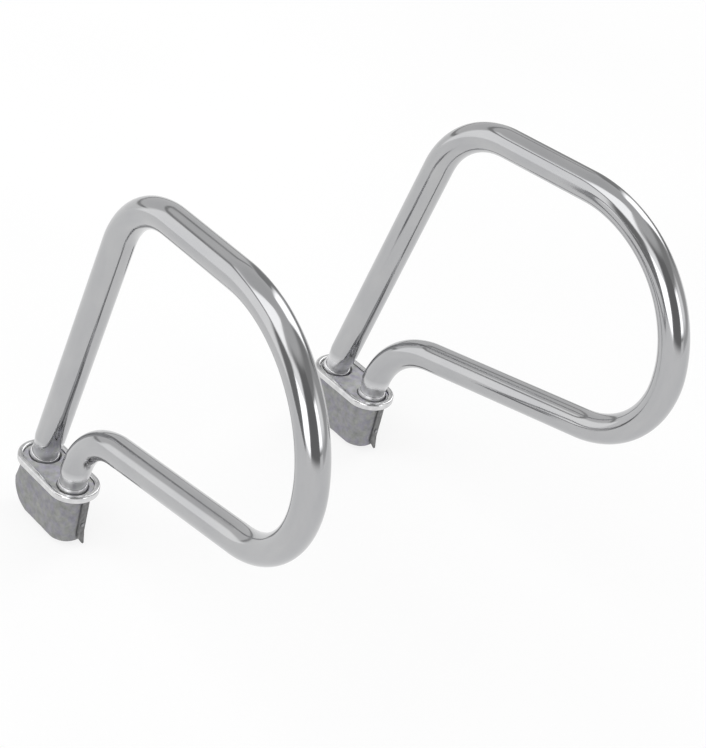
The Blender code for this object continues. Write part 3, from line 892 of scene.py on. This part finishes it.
def patch_group():
    """Shader group: how far a direction lies inside a soft-edged window of azimuth and elevation."""
    group = bpy.data.node_groups.new("studio_window", "ShaderNodeTree")
    sockets = group.interface
    sockets.new_socket("Direction", in_out="INPUT", socket_type="NodeSocketVector")
    for name in ("Azimuth", "Elevation", "Half_width", "Half_height", "Soft"):
        sockets.new_socket(name, in_out="INPUT", socket_type="NodeSocketFloat")
    sockets.new_socket("Mask", in_out="OUTPUT", socket_type="NodeSocketFloat")
    entry = group.nodes.new("NodeGroupInput")
    result = group.nodes.new("NodeGroupOutput")
    turn = math_node(group, "MULTIPLY", entry.outputs["Azimuth"], -1.0)
    turned_way = add_node(group, "ShaderNodeVectorRotate", [("Vector", entry.outputs["Direction"]),
                                                            ("Angle", turn)], rotation_type="Z_AXIS")
    parts = add_node(group, "ShaderNodeSeparateXYZ", [(0, turned_way.outputs[0])])
    sideways = math_node(group, "ABSOLUTE", math_node(group, "ARCTAN2", parts.outputs["Y"],
                                                      parts.outputs["X"]))
    height = math_node(group, "SUBTRACT", math_node(group, "ARCSINE", parts.outputs["Z"]),
                       entry.outputs["Elevation"])
    masks = []
    for value, half in ((sideways, "Half_width"), (math_node(group, "ABSOLUTE", height), "Half_height")):
        inside = math_node(group, "SUBTRACT", entry.outputs[half], value)
        soft = math_node(group, "DIVIDE", inside, entry.outputs["Soft"])
        step = add_node(group, "ShaderNodeMapRange", [(0, soft), (1, -0.5), (2, 0.5)],
                        interpolation_type="SMOOTHSTEP")
        masks.append(step.outputs[0])
    group.links.new(math_node(group, "MULTIPLY", *masks), result.inputs["Mask"])
    return group


# Studio round the object: azimuth and elevation of a window's middle, half width, half height and
# softness of its edge in degrees, then its brightness. Later windows lie over earlier ones.
WINDOWS = (
    (0, -60, 360, 62, 4, 0.96),       # pale table all round
    (0, 75, 360, 30, 30, 0.72),       # ceiling
    (0, 1, 360, 2.0, 1.6, 0.34),      # dark line where the table ends
    (15, 42, 75, 16, 16, 0.36),       # dark wall above the camera side
    (-18, 24, 26, 30, 8, 0.24),       # darkness behind the camera
    (-94, 8, 20, 26, 6, 0.27),        # gap between panels
    (124, 16, 8, 24, 7, 0.36),        # gap on the far side
    (-133, 10, 25, 30, 8, 1.32),      # left panel
    (-106, 58, 28, 24, 12, 1.9),      # high soft box
    (-62, 34, 15, 10, 12, 1.5),       # glow over the left soft box
    (-62, 10, 15, 15, 6, 3.0),        # left soft box
    (58, 12, 32, 20, 10, 0.56),       # right wall
    (36, 16, 16, 13, 14, 1.3),        # glow beside the front soft box
    (17, 17, 9, 14, 6, 2.6),          # front soft box
    (100, 38, 15, 20, 9, 2.5),        # right soft box
    (89, 14, 8, 5, 5, 0.24),          # dark sloping stand: its upper end
    (103, 3, 9, 6, 5, 0.20),          # its middle
    (118, -10, 9, 6, 5, 0.24),        # its lower end
    (-165, 33, 60, 2.4, 2.6, 0.38),   # dark seam between the left panel and the high box
)


def studio_world():
    """The windows light and reflect in the object; the camera itself sees plain white."""
    world = bpy.data.worlds.new("studio")
    bpy.context.scene.world = world
    world.use_nodes = True
    tree = world.node_tree
    tree.nodes.clear()
    direction = add_node(tree, "ShaderNodeTexCoord").outputs["Generated"]
    group = patch_group()
    light = STUDIO_LIGHT
    for azimuth, elevation, half_width, half_height, soft, value in WINDOWS:
        window = add_node(tree, "ShaderNodeGroup", node_tree=group)
        tree.links.new(direction, window.inputs["Direction"])
        for socket, degrees in (("Azimuth", azimuth), ("Elevation", elevation),
                                ("Half_width", half_width), ("Half_height", half_height),
                                ("Soft", soft)):
            window.inputs[socket].default_value = math.radians(degrees)
        mix = add_node(tree, "ShaderNodeMix", [("Factor", window.outputs["Mask"]), ("A", light),
                                               ("B", value)])
        light = mix.outputs["Result"]
    studio = add_node(tree, "ShaderNodeBackground", [("Strength", light)])
    white = add_node(tree, "ShaderNodeBackground", [("Strength", 1.0)])
    white.inputs["Color"].default_value = (1.0, 1.0, 1.0, 1.0)
    studio.inputs["Color"].default_value = (1.0, 1.0, 1.0, 1.0)
    seen = add_node(tree, "ShaderNodeLightPath").outputs["Is Camera Ray"]
    mixed = add_node(tree, "ShaderNodeMixShader", [(0, seen), (1, studio.outputs[0]),
                                                   (2, white.outputs[0])])
    output = add_node(tree, "ShaderNodeOutputWorld")
    tree.links.new(mixed.outputs[0], output.inputs["Surface"])


def floor_material():
    material, tree, shader = new_material("pale_floor")
    place = object_coordinates(tree)
    tone = ramp(tree, noise_node(tree, place, 1.5, 2.0), [(0.3, (0.20, 0.20, 0.20)),
                                                          (0.7, (0.22, 0.22, 0.22))])
    tree.links.new(tone, shader.inputs["Base Color"])
    shader.inputs["Roughness"].default_value = 0.9
    shader.inputs["Specular IOR Level"].default_value = 0.0
    shader.inputs["Emission Color"].default_value = (1.0, 1.0, 1.0, 1.0)
    shader.inputs["Emission Strength"].default_value = 0.80
    return material


def build_floor():
    shape = bmesh.new()
    bmesh.ops.create_grid(shape, x_segments=4, y_segments=4, size=FLOOR_HALF_SIZE)
    mesh = bpy.data.meshes.new("floor")
    shape.to_mesh(mesh)
    shape.free()
    mesh.materials.append(floor_material())
    floor = bpy.data.objects.new("floor", mesh)
    floor.location = (FLOOR_MIDDLE_X, 0.0, CAD_LOW.z - FLOOR_DROP)
    bpy.context.scene.collection.objects.link(floor)


def add_camera():
    data = bpy.data.cameras.new("camera")
    data.lens = CAMERA_LENS
    camera = bpy.data.objects.new("camera", data)
    bpy.context.scene.collection.objects.link(camera)
    way = Vector(CAMERA_TARGET) - Vector(CAMERA_AT)
    aim = way.to_track_quat("-Z", "Y").to_matrix().to_4x4()
    camera.matrix_world = Matrix.Translation(CAMERA_AT) @ aim @ Matrix.Rotation(CAMERA_ROLL, 4, "Z")
    bpy.context.scene.camera = camera


def main():
    noise.seed_set(SKIN_SEED)
    materials = {
        "tube": polished_tube_material(),
        "rim": polished_rim_material(),
        "cast": cast_foot_material(),
        "collar": turned_material("collar_finish", (0.76, 0.76, 0.77), (0.88, 0.88, 0.89),
                                  0.32, 0.44, 900.0),
        "hardware": turned_material("hardware_finish", (0.20, 0.20, 0.21), (0.36, 0.36, 0.37),
                                    0.25, 0.42, 700.0),
        "strip": spring_strip_material(),
    }
    add_camera()
    studio_world()
    build_floor()
    for side, sign in UNITS:
        build_unit(side, sign, materials)
    bpy.context.scene.view_settings.view_transform = "Standard"


main()
